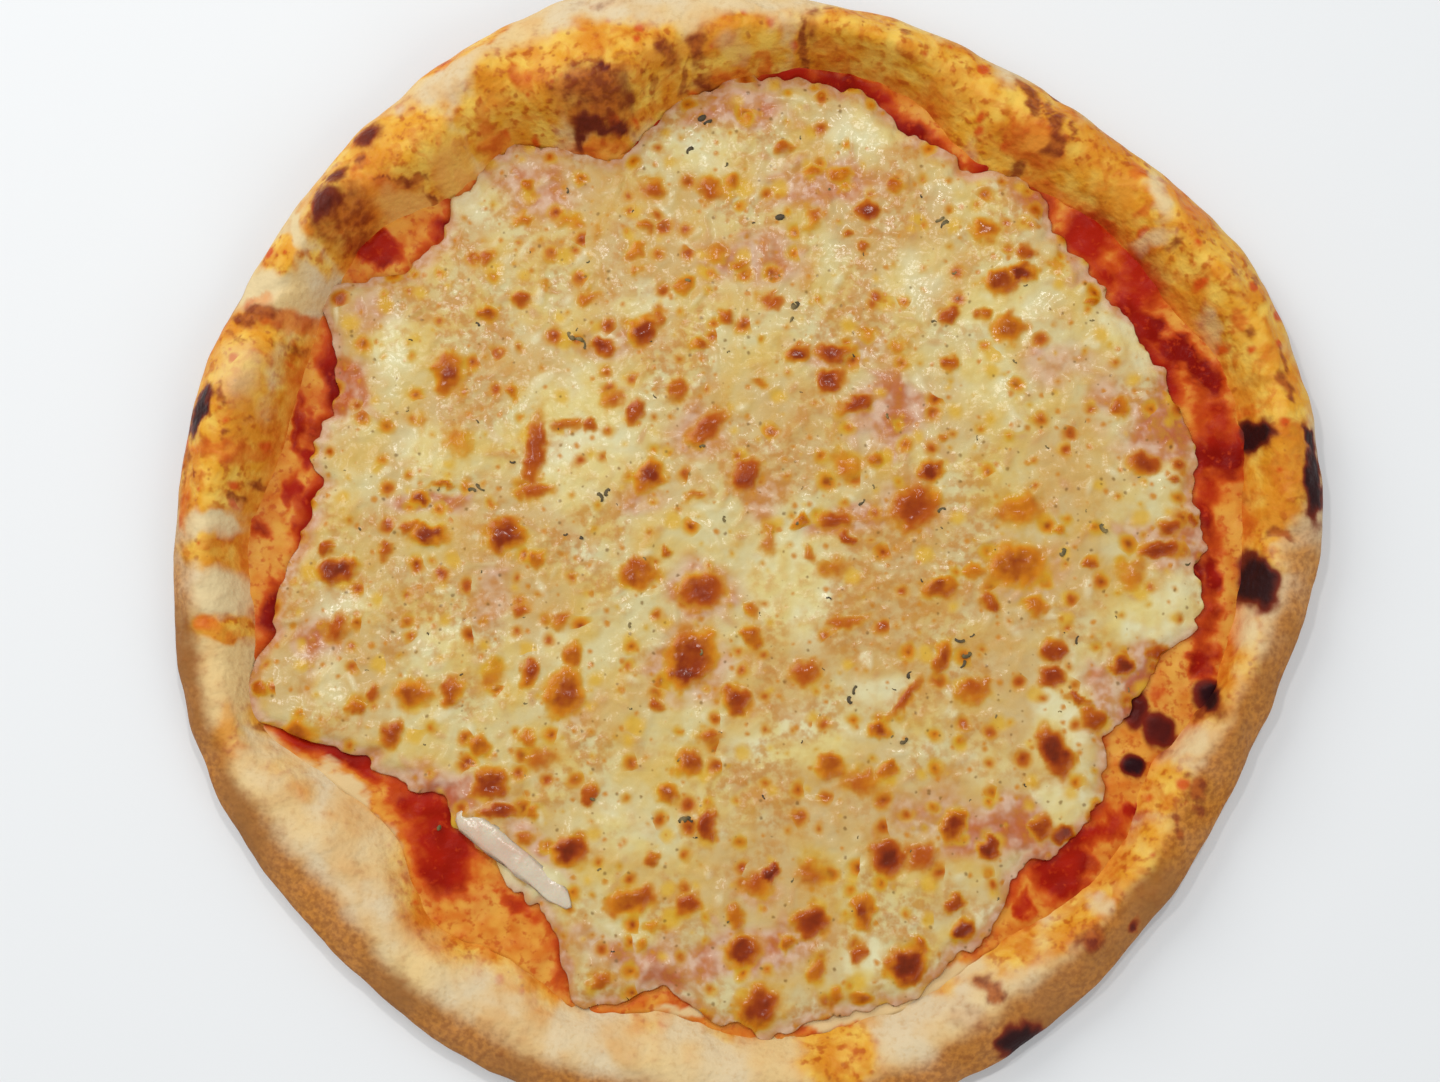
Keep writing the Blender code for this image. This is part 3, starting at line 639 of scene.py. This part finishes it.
# Pixel x and y, length and width in pixels, darkness and any turn in degrees of the toasted blisters
TOASTED_SPOTS = [
    (530, 184, 15, 13, .5), (520, 220, 20, 15, .45), (572, 222, 24, 18, .35), (596, 234, 20, 12, .25, 80),
    (654, 188, 27, 20, .5), (711, 187, 30, 24, .5, -20), (732, 181, 16, 15, .5), (645, 226, 18, 12, .5),
    (635, 251, 20, 15, .45, 80), (635, 272, 12, 9, .4), (683, 285, 18, 17, .5, 50), (521, 297, 22, 15, .5),
    (586, 297, 25, 12, .4, 20), (486, 312, 18, 17, .65), (485, 260, 18, 15, .5), (725, 317, 18, 15, .55),
    (644, 331, 28, 24, .75, 60), (661, 318, 20, 12, .4, 80), (602, 346, 28, 18, .8), (699, 343, 18, 15, .55),
    (783, 147, 18, 15, .6), (748, 118, 12, 12, .45), (814, 170, 18, 12, .5), (840, 173, 20, 14, .5),
    (812, 217, 22, 14, .4, 80), (867, 210, 22, 20, .8, 30), (896, 185, 15, 15, .5),
    (850, 232, 12, 9, .5, 80), (861, 248, 12, 12, .45), (950, 315, 18, 15, .6, 80),
    (797, 354, 22, 15, .8, 20), (835, 352, 34, 16, .75), (866, 334, 18, 12, .4), (899, 344, 22, 16, .3),
    (716, 254, 25, 20, .35, 60), (740, 266, 16, 12, .45), (774, 300, 24, 15, .45), (984, 230, 26, 24, .6),
    (1000, 280, 30, 24, .75, 20), (1023, 271, 22, 18, .9), (1026, 251, 24, 14, .5), (1055, 266, 22, 12, .35),
    (1009, 329, 28, 28, .65), (1093, 301, 12, 10, .55), (983, 315, 14, 12, .5), (535, 452, 76, 20, .6, 85),
    (535, 490, 36, 12, .5), (569, 424, 30, 12, .4), (589, 427, 14, 14, .6), (612, 400, 20, 18, .4),
    (636, 412, 22, 15, .55, 80), (512, 392, 17, 15, .55), (650, 476, 32, 22, .75, 60),
    (679, 389, 25, 20, .45, 70), (706, 428, 46, 22, .6, 40), (746, 476, 30, 24, .7, 80),
    (694, 496, 20, 12, .4), (506, 534, 36, 30, .8), (535, 559, 18, 16, .55), (638, 574, 30, 28, .6),
    (667, 552, 11, 10, .5), (702, 590, 38, 32, .75), (768, 544, 30, 14, .35, 85), (837, 568, 26, 20, .3),
    (811, 553, 13, 12, .4), (751, 611, 15, 15, .45), (752, 637, 21, 19, .6), (847, 622, 44, 13, .4, 10),
    (806, 672, 27, 26, .5), (691, 656, 54, 40, .75, 60), (684, 674, 26, 24, .85), (737, 700, 26, 24, .7),
    (659, 704, 18, 15, .5), (572, 657, 24, 18, .6, 80), (529, 674, 24, 16, .7, 80),
    (564, 694, 44, 34, .7, 70), (491, 675, 30, 20, .35, 70), (520, 609, 17, 15, .45), (560, 620, 20, 18, .4),
    (830, 378, 26, 22, .75, 20), (758, 384, 16, 14, .35), (857, 404, 34, 14, .7, 20), (847, 464, 30, 30, .4),
    (876, 459, 16, 14, .5), (931, 470, 24, 20, .8, 80), (915, 507, 44, 36, .7, 30), (801, 522, 16, 10, .6),
    (835, 519, 36, 16, .55, 10), (849, 537, 18, 15, .65), (938, 588, 32, 18, .7, 10),
    (942, 657, 34, 16, .65, 75), (905, 700, 50, 10, .5, 50), (950, 363, 16, 14, .6), (945, 436, 12, 12, .4),
    (1021, 510, 46, 32, .45), (1122, 406, 18, 18, .5), (1146, 463, 28, 18, .7, -20), (1174, 479, 14, 9, .5),
    (1171, 527, 22, 14, .6), (1160, 549, 34, 16, .75), (1194, 520, 9, 11, .5), (1061, 530, 13, 13, .5),
    (1092, 562, 14, 12, .6), (989, 602, 18, 16, .6), (1018, 565, 56, 40, .65, 10), (1036, 605, 26, 18, .5),
    (1131, 574, 30, 30, .4), (974, 571, 20, 15, .5), (1055, 651, 24, 18, .7), (1054, 675, 24, 20, .75),
    (1125, 665, 19, 19, .9), (1159, 651, 18, 16, .6), (974, 691, 28, 26, .5), (448, 372, 38, 26, .7, 80),
    (421, 421, 16, 16, .3), (419, 498, 16, 14, .75), (430, 534, 32, 16, .8), (410, 527, 18, 12, .5),
    (335, 570, 34, 22, .85, 5), (327, 548, 16, 11, .5, 80), (383, 551, 16, 13, .45),
    (337, 629, 30, 18, .5, 80), (412, 694, 34, 28, .65), (451, 692, 30, 18, .6, 70), (356, 708, 16, 14, .55),
    (372, 694, 18, 12, .4, 80), (259, 688, 18, 14, .6), (459, 443, 30, 30, .35), (296, 738, 34, 32, .65, 45),
    (259, 729, 14, 10, .6), (390, 736, 26, 22, .65, 80), (479, 746, 20, 20, .6), (529, 740, 18, 18, .5),
    (540, 757, 30, 28, .35), (491, 784, 32, 26, .8, 60), (498, 812, 36, 12, .7), (589, 796, 22, 12, .5, 80),
    (569, 852, 28, 28, .85), (534, 812, 16, 12, .5), (708, 735, 22, 18, .5), (688, 763, 28, 24, .6, 60),
    (668, 793, 21, 19, .6), (707, 827, 25, 18, .75, 80), (630, 901, 46, 24, .65, 15),
    (688, 905, 24, 22, .65), (737, 916, 20, 20, .5), (758, 885, 30, 24, .5), (769, 875, 14, 12, .9),
    (811, 873, 34, 30, .35, 80), (812, 922, 28, 26, .8), (788, 943, 18, 12, .6, 80),
    (863, 913, 30, 22, .75, 80), (888, 858, 30, 30, .9), (922, 856, 34, 30, .45), (832, 766, 30, 22, .6, 20),
    (863, 781, 44, 24, .45), (889, 770, 20, 14, .55), (878, 731, 22, 16, .7), (906, 966, 32, 32, .95),
    (957, 902, 18, 16, .7), (963, 932, 22, 19, .85, 20), (920, 948, 17, 16, .55), (835, 997, 20, 16, .5, 80),
    (863, 999, 24, 12, .6), (858, 953, 18, 12, .5, 80), (815, 971, 20, 14, .5, 80), (654, 925, 16, 10, .4),
    (642, 946, 18, 12, .4, 80), (601, 979, 18, 16, .5), (743, 950, 36, 24, .8, 20),
    (758, 1008, 38, 32, .75, 30), (699, 1021, 20, 16, .5), (740, 1035, 26, 16, .6),
    (954, 824, 30, 20, .8, 80), (654, 858, 14, 12, .5, 80), (527, 836, 22, 14, .45),
    (1055, 752, 44, 24, .95, -65), (1064, 835, 24, 12, .85), (1101, 812, 22, 18, .7),
    (989, 848, 20, 18, .85), (1042, 827, 24, 20, .7, 80), (1095, 718, 26, 18, .65, -60),
    (1078, 700, 22, 9, .6, -10), (444, 486, 24, 8, .6),
]

# Pixel x and y, length and width in pixels, strength and any turn of the milky and thin places
MILKY_PLACES = [
    (575, 440, 110, 130, 1), (790, 590, 90, 110, 1), (560, 645, 60, 40, .6), (690, 150, 90, 50, .8),
    (1000, 305, 90, 50, .8), (800, 740, 120, 60, .8), (400, 340, 60, 60, .8), (1150, 620, 80, 50, .9),
    (1060, 710, 60, 100, .8), (1070, 800, 60, 40, .9), (1165, 470, 26, 20, .7), (870, 130, 80, 30, .8, -10),
    (520, 870, 70, 30, .7, -40), (880, 690, 60, 40, .7), (980, 380, 60, 80, .6), (350, 600, 70, 40, .6),
    (620, 830, 90, 60, .6), (440, 640, 60, 60, .6), (920, 270, 70, 60, .6), (650, 300, 80, 40, .6),
    (430, 450, 80, 60, .6), (860, 960, 40, 50, .8), (990, 760, 60, 50, .5), (330, 680, 50, 60, .6),
    (1085, 262, 60, 20, .8, -45), (1132, 335, 90, 24, .9, -60), (1185, 600, 50, 60, .8),
    (480, 200, 60, 50, .7),
]
THIN_PLACES = [
    (890, 410, 80, 80, .9), (835, 350, 100, 34, .7), (620, 340, 90, 34, .7, 10), (700, 430, 60, 60, .7),
    (835, 522, 90, 30, .8), (915, 500, 70, 60, .8), (700, 590, 80, 60, .9), (695, 660, 80, 80, .9),
    (740, 110, 110, 40, .9), (830, 180, 130, 50, .8), (1040, 200, 90, 40, .8, -30), (1160, 430, 80, 90, .9),
    (1165, 540, 90, 60, .8), (1020, 565, 90, 60, .7), (1150, 680, 90, 70, 1), (1090, 700, 70, 70, .9),
    (1000, 830, 130, 60, 1), (750, 950, 140, 50, 1, 10), (640, 960, 140, 50, .9, -15),
    (760, 885, 60, 40, .7), (530, 190, 100, 60, .8), (750, 260, 120, 60, .8), (1060, 360, 90, 50, .6),
    (380, 310, 60, 50, .6), (345, 390, 50, 70, .9), (460, 790, 90, 40, .9, -30), (490, 600, 40, 80, .6),
    (570, 700, 60, 60, .5), (430, 500, 90, 30, .9), (320, 650, 40, 90, .9), (640, 500, 60, 30, .5),
    (760, 500, 60, 40, .6), (930, 820, 90, 60, .6), (540, 850, 90, 30, .8, -40), (1110, 400, 60, 60, .6),
]


def open_edge(mesh):
    """The lines round a sheet's open edge, and their vertices."""
    lines = [line for line in mesh.edges if line.is_boundary]
    return lines, list(dict.fromkeys(vertex for line in lines for vertex in line.verts))


def cheese_mesh():
    """A fine grid cut to the sheet's outline, with a turned-down edge and a closed underside.
    Height 1 stands for the sheet's top and 0 for its underside."""
    mesh = bmesh.new()
    count = round(2 * CHEESE_GRID_HALF / CHEESE_SPACING)
    bmesh.ops.create_grid(mesh, x_segments=count, y_segments=count, size=CHEESE_GRID_HALF * MM)
    bmesh.ops.translate(mesh, verts=mesh.verts, vec=(0, 0, MM))
    places = np.array([vertex.co.xy for vertex in mesh.verts]) / MM
    inside = cheese_edge(np.arctan2(places[:, 1], places[:, 0])) - np.hypot(*places.T)
    cut = [vertex for vertex, room in zip(mesh.verts, inside) if room < -EDGE_SPARE]
    bmesh.ops.delete(mesh, geom=cut, context="VERTS")
    edge, corners = open_edge(mesh)
    turns = np.array([math.atan2(vertex.co.y, vertex.co.x) for vertex in corners])
    for vertex, reach in zip(corners, cheese_edge(turns)):
        vertex.co.xy *= reach * MM / vertex.co.xy.length
    for height, inward in EDGE_RINGS:
        bmesh.ops.extrude_edge_only(mesh, edges=edge)
        edge, corners = open_edge(mesh)
        for vertex in corners:
            vertex.co.z = height * MM
            vertex.co.xy *= 1 - inward * MM / vertex.co.xy.length
    middle = mesh.verts.new((0, 0, 0))
    for line in edge:
        mesh.faces.new((*line.verts, middle))
    return mesh


def shred_relief(x, y):
    """Low ridges left by the shreds that melted together, and how light each one is."""
    draw = random.Random(11)
    ridge, tone = np.zeros_like(x), np.zeros_like(x)
    for _ in range(SHRED_COUNT):
        centre = SHRED_REACH * math.sqrt(draw.random())
        place = draw.uniform(0, math.tau)
        turn, bend = draw.uniform(0, math.pi), draw.uniform(-0.04, 0.04)
        length, width = draw.uniform(*SHRED_LENGTHS), draw.uniform(*SHRED_WIDTHS)
        high, light = draw.uniform(0.3, 1), draw.uniform(-1, 1)
        from_x, from_y = x - centre * math.cos(place), y - centre * math.sin(place)
        near = np.flatnonzero(np.abs(from_x) + np.abs(from_y) < length)
        along = from_x[near] * math.cos(turn) + from_y[near] * math.sin(turn)
        across = from_y[near] * math.cos(turn) - from_x[near] * math.sin(turn) - bend * along**2
        shape = smooth(1 - np.hypot(across / width, along / (length / 2)))
        ridge[near] = np.maximum(ridge[near], high * shape)
        tone[near] += light * shape
    return ridge, np.clip(tone, -1, 1)


def cheese_top(x, y):
    """Height of the sheet's top and the fields that its finish reads."""
    warp_x = x + 1.6 * lumps(x, y, 21, 4) + 0.9 * lumps(x, y, 25, 1.8)
    warp_y = y + 1.6 * lumps(x, y, 23, 4) + 0.9 * lumps(x, y, 27, 1.8)
    toast = marked(warp_x, warp_y, TOASTED_SPOTS, CHEESE_SEEN, 1.5)
    wide_x, wide_y = x + 4 * lumps(x, y, 31, 9), y + 4 * lumps(x, y, 33, 9)
    milky = marked(wide_x, wide_y, MILKY_PLACES, CHEESE_SEEN, 1.3)
    thin = marked(wide_x, wide_y, THIN_PLACES, CHEESE_SEEN, 1.3)
    ridge, tone = shred_relief(x, y)
    inside = cheese_edge(np.arctan2(y, x)) - np.hypot(x, y)
    edge = smooth(1 - inside / CHEESE_EDGE_WIDE)
    height = CHEESE_BOTTOM + CHEESE_THICK + CHEESE_WAVE * (lumps(x, y, 3, 16) + 0.6 * lumps(x, y, 5, 8))
    height += RIDGE_HIGH * ridge * (1 - 0.6 * milky) - THIN_SUNK * thin * (1 - ridge)
    height += (0.22 * lumps(x, y, 9, 2.6) + 0.12 * lumps(x, y, 10, 1.5)) * (1 - 0.7 * milky)
    height += BLISTER_LIFT * smooth((toast - 0.15) / 0.45) - CHEESE_EDGE_DROP * edge
    return height, {"toast": toast, "milky": milky, "thin": thin, "tone": tone, "edge": edge}


def cheese_finish():
    """Cream streaked by its shreds, pink where it's thin and pale where it pooled, under tan clouds,
    small dots and toasted spots that darken to their middles."""
    finish = Finish("melted_cheese", Specular_IOR_Level=0.16)
    grain, fine, small, medium, large = (finish.clouds(size) for size in (0.6, 1.2, 2.4, 5.0, 13.0))
    fields = ("toast", "milky", "thin", "tone", "edge")
    toast, milky, thin, tone, edge = (finish.field(name) for name in fields)
    cream = blend(medium.rising(0.3, 0.7), (202, 188, 138), (202, 170, 92))
    cream = blend(0.6 * large.rising(0.4, 0.64), cream, (188, 146, 88))
    light = tone + 0.8 * (small - 0.5)
    cream = blend(0.75 * light.rising(0.1, 1.0), cream, (216, 204, 162))
    cream = blend(0.6 * light.rising(-0.1, -1.0), cream, (186, 132, 68))
    pink_edge = thin.at_least(0.8 * edge) + 0.9 * (medium - 0.5) - 0.3 * tone
    pink = blend(small.rising(0.3, 0.7), (204, 166, 140), (180, 110, 76))
    colour = blend(0.9 * pink_edge.rising(0.05, 0.9), cream, pink)
    red_edge = 0.8 * thin + 0.35 * edge + 1.1 * (small - 0.5)
    colour = blend(0.8 * red_edge.rising(0.45, 1.05), colour, (168, 62, 22))
    milk = blend(medium.rising(0.35, 0.65), (214, 206, 162), (210, 190, 122))
    colour = blend(0.9 * (milky + 0.4 * (medium - 0.5)).rising(0.1, 0.8), colour, milk)
    tan_clouds = finish.clouds(9.0, 4.0) - 0.12 * milky
    tan_share = 0.75 * tan_clouds.rising(0.44, 0.62) * fine.rising(0.35, 0.65)
    colour = blend(tan_share, colour, (180, 120, 56))
    colour = blend(0.8 * finish.dots(9.5, 0.6, 3.2).rising(-0.06, 0.2), colour, (206, 160, 42))
    hue = finish.clouds(6.5)
    amber = blend(hue.rising(0.38, 0.6), (196, 150, 34), (192, 130, 30))
    toasted = blend(hue.rising(0.38, 0.6), (198, 118, 14), (172, 80, 10))
    spots = finish.dots(7.2, 0.75, 3.0) + 0.1 * (small - 0.5) - 0.1 * milky
    colour = blend(0.8 * spots.rising(-0.12, 0.12), colour, amber)
    colour = blend(spots.rising(0.03, 0.24), colour, toasted)
    colour = blend(spots.rising(0.18, 0.4), colour, (142, 52, 5))
    colour = blend(0.9 * finish.dots(4.1, 0.4, 1.2).rising(-0.05, 0.22), colour, (190, 120, 30))
    colour = blend(0.7 * finish.dots(3.1, 0.3, 0.8).rising(0, 0.2), colour, (114, 80, 32))
    browned = toast + 0.28 * (small - 0.5) + 0.14 * (fine - 0.5)
    colour = blend(0.85 * browned.rising(-0.06, 0.3), colour, amber)
    colour = blend(browned.rising(0.1, 0.48), colour, toasted)
    colour = blend(browned.rising(0.35, 0.8), colour, (138, 48, 5))
    colour = blend(browned.rising(0.65, 1.05), colour, (88, 26, 6))
    relief = 0.5 * medium + 0.35 * small + 0.12 * fine + 0.03 * grain
    finish.cover(colour, 0.1 + 0.26 * medium, relief, 0.9)
    return finish


cheese = add_piece("cheese_sheet", cheese_mesh(), cheese_finish())
flat_x, flat_y, layer = read_places(cheese.data)
top_height, cheese_fields = cheese_top(flat_x, flat_y)
write_places(cheese.data, flat_x, flat_y, CHEESE_BOTTOM + layer * (top_height - CHEESE_BOTTOM))
keep_fields(cheese.data, cheese_fields)
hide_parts("melted_cheese")


# Loose shreds
# A long strip of grated mozzarella near the sheet's edge, which softened in the oven but kept its
# shape.
STRIP_FROM, STRIP_TO = Vector((-76, -71)), Vector((-46, -95))
STRIP_WIDE, STRIP_FLAT = 7.2, 0.12


def shred_mesh(bend):
    """A stretched ball, flattened, bent sideways and laid on the sheet's edge."""
    mesh = bmesh.new()
    bmesh.ops.create_icosphere(mesh, subdivisions=3, radius=1)
    run = (STRIP_TO - STRIP_FROM).normalized()
    half = (STRIP_TO - STRIP_FROM).length / 2
    middle = (STRIP_FROM + STRIP_TO) / 2
    for vertex in mesh.verts:
        along, across, up = vertex.co
        full = (1 - along**6) ** 0.5 / max((1 - along**2) ** 0.5, 0.2)
        thick = STRIP_WIDE * (0.86 - 0.14 * along + 0.1 * math.sin(along * half * 0.6))
        side = across * full * thick / 2 + bend * (1 - along**2) + 0.3 * math.sin(along * half * 1.3)
        place = middle + run * along * half + Vector((-run.y, run.x)) * side
        height = CHEESE_BOTTOM + CHEESE_THICK + up * full * thick * STRIP_FLAT
        vertex.co = Vector((*place, height + 0.25 * math.sin(along * half * 0.45))) * MM
    return mesh


def shred_finish():
    """Milky white with a pink cast, and a wet sheen."""
    finish = Finish("loose_shreds", Specular_IOR_Level=0.35, Subsurface_Weight=0.1, Subsurface_Scale=0.002)
    small, medium = finish.clouds(1.6), finish.clouds(6.0)
    colour = blend(medium.rising(0.35, 0.65), (204, 190, 164), (198, 172, 148))
    colour = blend(0.4 * small.rising(0.5, 0.7), colour, (204, 160, 134))
    finish.cover(colour, 0.12 + 0.2 * small, 0.5 * small + 0.5 * medium, 1.0)
    return finish


strip_bend = random.Random(37).uniform(-1.2, 1.2)
add_piece("loose_shreds", shred_mesh(strip_bend), shred_finish())


# Dried herbs
# Crumbled oregano strewn before baking: thin curled flakes, dark olive to brown, that lie on the
# cheese or half sunk in it.
HERB_PLACES = [
    (945, 224), (940, 219), (578, 340), (584, 344), (571, 336), (580, 537), (472, 490), (480, 487),
    (600, 497), (607, 492), (862, 502), (942, 510), (960, 640), (967, 655), (963, 664), (855, 690),
    (850, 700), (910, 675), (795, 305), (790, 320), (1078, 640), (683, 820), (708, 122), (702, 118),
    (1063, 552), (690, 150), (780, 217), (904, 741), (1104, 528), (690, 819),
]
HERB_SCATTERED = 90
HERB_REACH, HERB_SWAY = 112.0, 5.0
LISTED_LENGTHS, SCATTERED_LENGTHS = (1.6, 2.8), (0.6, 1.5)
FLAKE_THICK = 0.2


def flake_mesh(mesh, draw, place, length, width):
    """One curled flake: a small sheet, narrowed to its ends, bent and given a thickness."""
    made = bmesh.ops.create_grid(mesh, x_segments=3, y_segments=1, size=0.5)["verts"]
    curl, twist = draw.uniform(0.1, 0.4), draw.uniform(-0.3, 0.3)
    for vertex in made:
        along = 2 * vertex.co.x
        vertex.co.y *= 1 - 0.6 * along**2
        vertex.co.z = curl * along**2 * width / length + twist * vertex.co.y
    turn = Euler((draw.uniform(-0.2, 0.2), draw.uniform(-0.15, 0.15), draw.uniform(0, math.tau)))
    matrix = Matrix.Translation(Vector(place) * MM) @ turn.to_matrix().to_4x4()
    matrix @= Matrix.Diagonal((length * MM, width * MM, length * MM, 1))
    bmesh.ops.transform(mesh, matrix=matrix, verts=made)
    faces = dict.fromkeys(face for vertex in made for face in vertex.link_faces)
    bmesh.ops.solidify(mesh, geom=list(faces), thickness=FLAKE_THICK * MM)


def herb_finish():
    """Dull olive, mottled and browner in places."""
    finish = Finish("dried_herb", Roughness=0.7)
    small, medium = finish.clouds(1.2), finish.clouds(9.0)
    leaf = blend(small.rising(0.4, 0.6), (96, 82, 42), (134, 112, 62))
    leaf = blend(medium.rising(0.45, 0.6), leaf, (70, 56, 32))
    finish.cover(leaf, 0.6 + 0.2 * small, small, 0.3)
    return finish


herb_draw = random.Random(23)
herb_xy = [seen_at(px, py, CHEESE_SEEN) for px, py in HERB_PLACES]
for number in range(HERB_SCATTERED):
    turn = number * math.pi * (3 - math.sqrt(5))
    away = HERB_REACH * math.sqrt((number + 0.5) / HERB_SCATTERED)
    herb_x = math.cos(turn) * away + herb_draw.uniform(-HERB_SWAY, HERB_SWAY)
    herb_y = math.sin(turn) * away + herb_draw.uniform(-HERB_SWAY, HERB_SWAY)
    herb_xy.append((herb_x, herb_y))
herb_xy = np.array(herb_xy)
herb_heights = cheese_top(herb_xy[:, 0].copy(), herb_xy[:, 1].copy())[0]
herb_mesh = bmesh.new()
for number, ((herb_x, herb_y), herb_z) in enumerate(zip(herb_xy, herb_heights)):
    long = herb_draw.uniform(*(LISTED_LENGTHS if number < len(HERB_PLACES) else SCATTERED_LENGTHS))
    flake_mesh(herb_mesh, herb_draw, (herb_x, herb_y, herb_z), long, long * herb_draw.uniform(0.35, 0.8))
add_piece("herb_flakes", herb_mesh, herb_finish())


# Floor and light
# A plain pale floor and soft light from above, with two small lamps for the wet glints.
FLOOR_HALF = 2.0
floor_data = bpy.data.meshes.new("floor")
floor_mesh = bmesh.new()
bmesh.ops.create_grid(floor_mesh, x_segments=1, y_segments=1, size=FLOOR_HALF)
floor_mesh.to_mesh(floor_data)
floor_mesh.free()
floor = add_object("floor", floor_data)
floor_finish = Finish("floor", Roughness=0.8)
floor_finish.shader.inputs["Base Color"].default_value = shade(226, 226, 225)
floor_data.materials.append(floor_finish.material)


def add_lamp(name, place, size, power):
    """A square lamp that faces the middle of the pizza."""
    light = bpy.data.lights.new(name, "AREA")
    light.size, light.energy = size, power
    lamp = add_object(name, light)
    lamp.location = place
    lamp.rotation_euler = Vector(place).to_track_quat("Z", "Y").to_euler()


add_lamp("soft_key", (-1.0, 1.0, 1.0), 1.0, 13.6)
add_lamp("soft_fill", (1.0, -0.9, 1.1), 1.0, 5.2)
add_lamp("back_glint", (0.12, 0.45, 1.1), 0.05, 2.4)
add_lamp("left_glint", (-0.4, 0.2, 1.1), 0.05, 2.0)
world = bpy.data.worlds.new("studio")
world.use_nodes = True
sky = world.node_tree.nodes["Background"].inputs
sky["Color"].default_value = (0.9, 0.95, 1.0, 1)
sky["Strength"].default_value = 0.55
bpy.context.scene.world = world
bpy.context.scene.view_settings.view_transform = "Standard"
